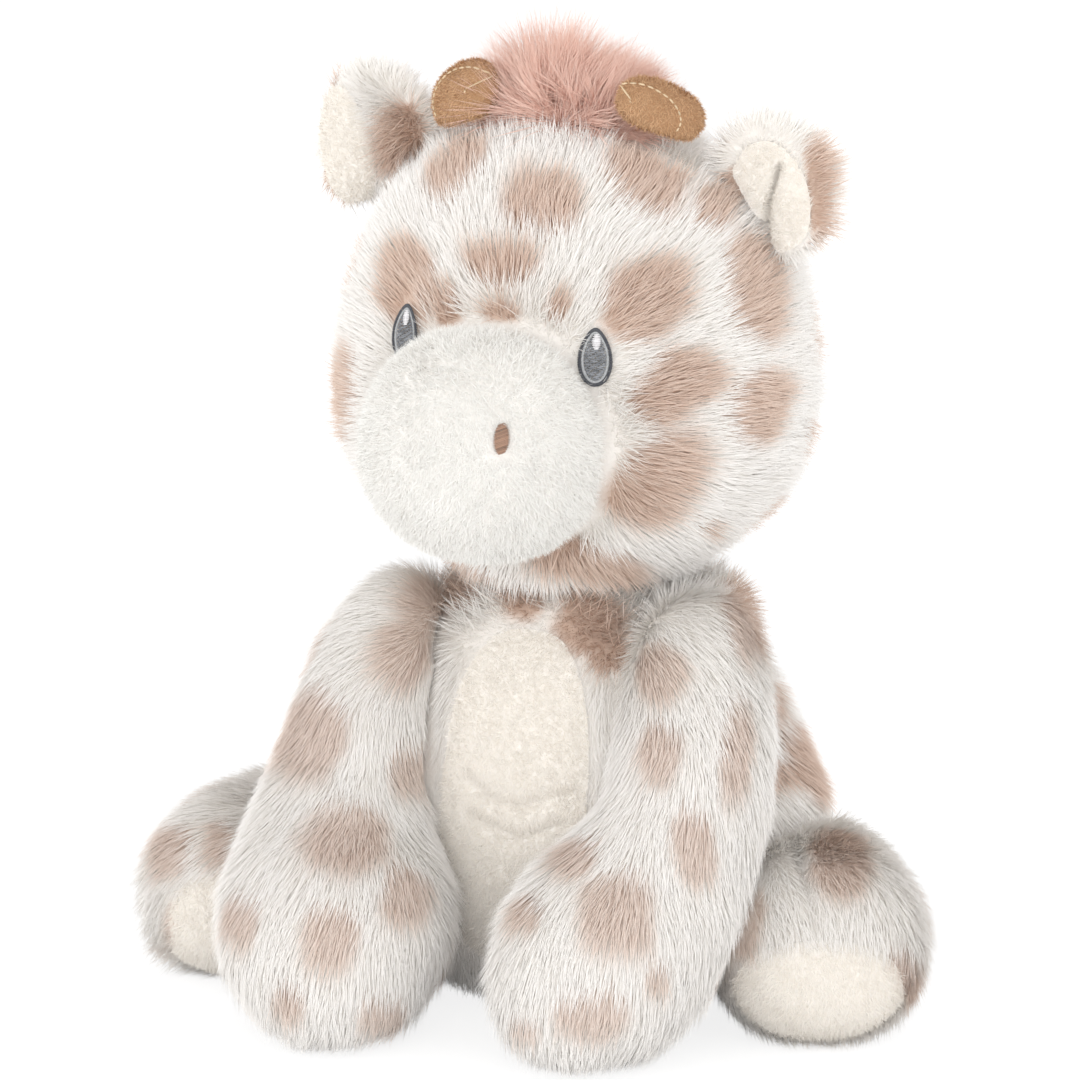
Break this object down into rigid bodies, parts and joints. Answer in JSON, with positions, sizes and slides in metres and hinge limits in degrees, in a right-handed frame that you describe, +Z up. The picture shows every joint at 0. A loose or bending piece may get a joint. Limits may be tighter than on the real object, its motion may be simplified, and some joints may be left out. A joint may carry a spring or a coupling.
{
  "type": "plush rattle",
  "caption": "Seated plush giraffe that holds a rattle: soft head, muzzle, ears, horns, tuft, legs and tail round a filled body, with loose beads in a hollow drum.",
  "frame": {"origin": "middle of the flat under the body, where the toy sits", "axes": "+Z up, the toy faces -Y, and its left side is +X"},
  "size_m": [0.2074, 0.1893, 0.241],
  "materials": {
    "white_plush": "long off-white acrylic plush with soft fawn spots",
    "muzzle_plush": "short white plush",
    "cream_velour": "short cream velour",
    "tan_velour": "short tan velour",
    "rose_pile": "long rose-tan pile",
    "fibre": "loose white polyester filling",
    "grey_thread": "satin-stitched grey thread",
    "white_thread": "satin-stitched white thread",
    "brown_thread": "satin-stitched brown thread",
    "white_plastic": "plain moulded plastic",
    "bead_plastic": "plain moulded plastic"
  },
  "bodies": {
    "body": {"body_cover": "white_plush", "tummy_patch": "cream_velour", "body_stuffing_lower": "fibre", "body_stuffing_upper": "fibre", "rattle_shell_left": "white_plastic", "rattle_shell_right": "white_plastic"},
    "neck": {"neck_stuffing": "fibre"},
    "head": {"head_cover": "white_plush", "head_stuffing": "fibre", "muzzle_cover": "muzzle_plush", "muzzle_stuffing": "fibre", "right_horn": "tan_velour", "left_horn": "tan_velour", "crown_tuft": "rose_pile", "right_eye": "grey_thread", "right_eye_glint": "white_thread", "right_nostril": "brown_thread", "left_eye": "grey_thread", "left_eye_glint": "white_thread", "left_nostril": "brown_thread"},
    "tail": {"tail_stem": "white_plush", "tail_tuft": "rose_pile"},
    "right_ear": {"right_ear_back": "white_plush", "right_ear_lining": "cream_velour"},
    "right_front_leg": {"right_front_leg_cover": "white_plush", "right_front_leg_stuffing": "fibre"},
    "right_hind_leg": {"right_hind_leg_cover": "white_plush", "right_hind_leg_sole": "cream_velour", "right_hind_leg_stuffing": "fibre"},
    "left_ear": {"left_ear_back": "white_plush", "left_ear_lining": "cream_velour"},
    "left_front_leg": {"left_front_leg_cover": "white_plush", "left_front_leg_stuffing": "fibre"},
    "left_hind_leg": {"left_hind_leg_cover": "white_plush", "left_hind_leg_sole": "cream_velour", "left_hind_leg_stuffing": "fibre"},
    "rattle_bead_1": {"rattle_bead_1": "bead_plastic"},
    "rattle_bead_2": {"rattle_bead_2": "bead_plastic"},
    "rattle_bead_3": {"rattle_bead_3": "bead_plastic"},
    "rattle_bead_4": {"rattle_bead_4": "bead_plastic"},
    "rattle_bead_5": {"rattle_bead_5": "bead_plastic"}
  },
  "joints": [
    {"name": "head_turn", "type": "hinge", "parent": "body", "child": "neck", "pos_m": [0, -0.01, 0.084], "axis": [0, 0, 1], "range_deg": [-25, 25], "stiffness_Nm_per_rad": 0.3},
    {"name": "head_nod", "type": "hinge", "parent": "neck", "child": "head", "pos_m": [0, -0.01, 0.084], "axis": [1, 0, 0], "range_deg": [-8, 8], "stiffness_Nm_per_rad": 0.8},
    {"name": "right_ear_flop", "type": "hinge", "parent": "head", "child": "right_ear", "pos_m": [-0.04277, -0.00925, 0.2084], "axis": [0.7466, -0.2443, 0.6188], "range_deg": [-15, 20], "stiffness_Nm_per_rad": 0.02},
    {"name": "left_ear_flop", "type": "hinge", "parent": "head", "child": "left_ear", "pos_m": [0.04794, -0.01084, 0.20246], "axis": [0.5168, 0.1742, -0.8382], "range_deg": [-15, 20], "stiffness_Nm_per_rad": 0.02},
    {"name": "right_front_leg_swing", "type": "hinge", "parent": "body", "child": "right_front_leg", "pos_m": [-0.038, -0.016, 0.105], "axis": [-1, 0, 0], "range_deg": [0, 30], "stiffness_Nm_per_rad": 0.1},
    {"name": "left_front_leg_swing", "type": "hinge", "parent": "body", "child": "left_front_leg", "pos_m": [0.038, -0.016, 0.105], "axis": [-1, 0, 0], "range_deg": [0, 30], "stiffness_Nm_per_rad": 0.1},
    {"name": "right_hind_leg_splay", "type": "hinge", "parent": "body", "child": "right_hind_leg", "pos_m": [-0.046, 0.032, 0], "axis": [0, 0, -1], "range_deg": [0, 20], "stiffness_Nm_per_rad": 0.1},
    {"name": "left_hind_leg_splay", "type": "hinge", "parent": "body", "child": "left_hind_leg", "pos_m": [0.046, 0.032, 0], "axis": [0, 0, 1], "range_deg": [0, 20], "stiffness_Nm_per_rad": 0.1},
    {"name": "tail_swing", "type": "hinge", "parent": "body", "child": "tail", "pos_m": [0, 0.05591, 0.034], "axis": [0, 0, 1], "range_deg": [-20, 20], "stiffness_Nm_per_rad": 0.02},
    {"name": "rattle_bead_1_roll", "type": "hinge", "parent": "body", "child": "rattle_bead_1", "pos_m": [-0.01216, -0.005, 0.046], "axis": [1, 0, 0], "continuous": true},
    {"name": "rattle_bead_2_roll", "type": "hinge", "parent": "body", "child": "rattle_bead_2", "pos_m": [-0.00608, -0.005, 0.046], "axis": [1, 0, 0], "continuous": true},
    {"name": "rattle_bead_3_roll", "type": "hinge", "parent": "body", "child": "rattle_bead_3", "pos_m": [0, -0.005, 0.046], "axis": [1, 0, 0], "continuous": true},
    {"name": "rattle_bead_4_roll", "type": "hinge", "parent": "body", "child": "rattle_bead_4", "pos_m": [0.00608, -0.005, 0.046], "axis": [1, 0, 0], "continuous": true},
    {"name": "rattle_bead_5_roll", "type": "hinge", "parent": "body", "child": "rattle_bead_5", "pos_m": [0.01216, -0.005, 0.046], "axis": [1, 0, 0], "continuous": true}
  ]
}
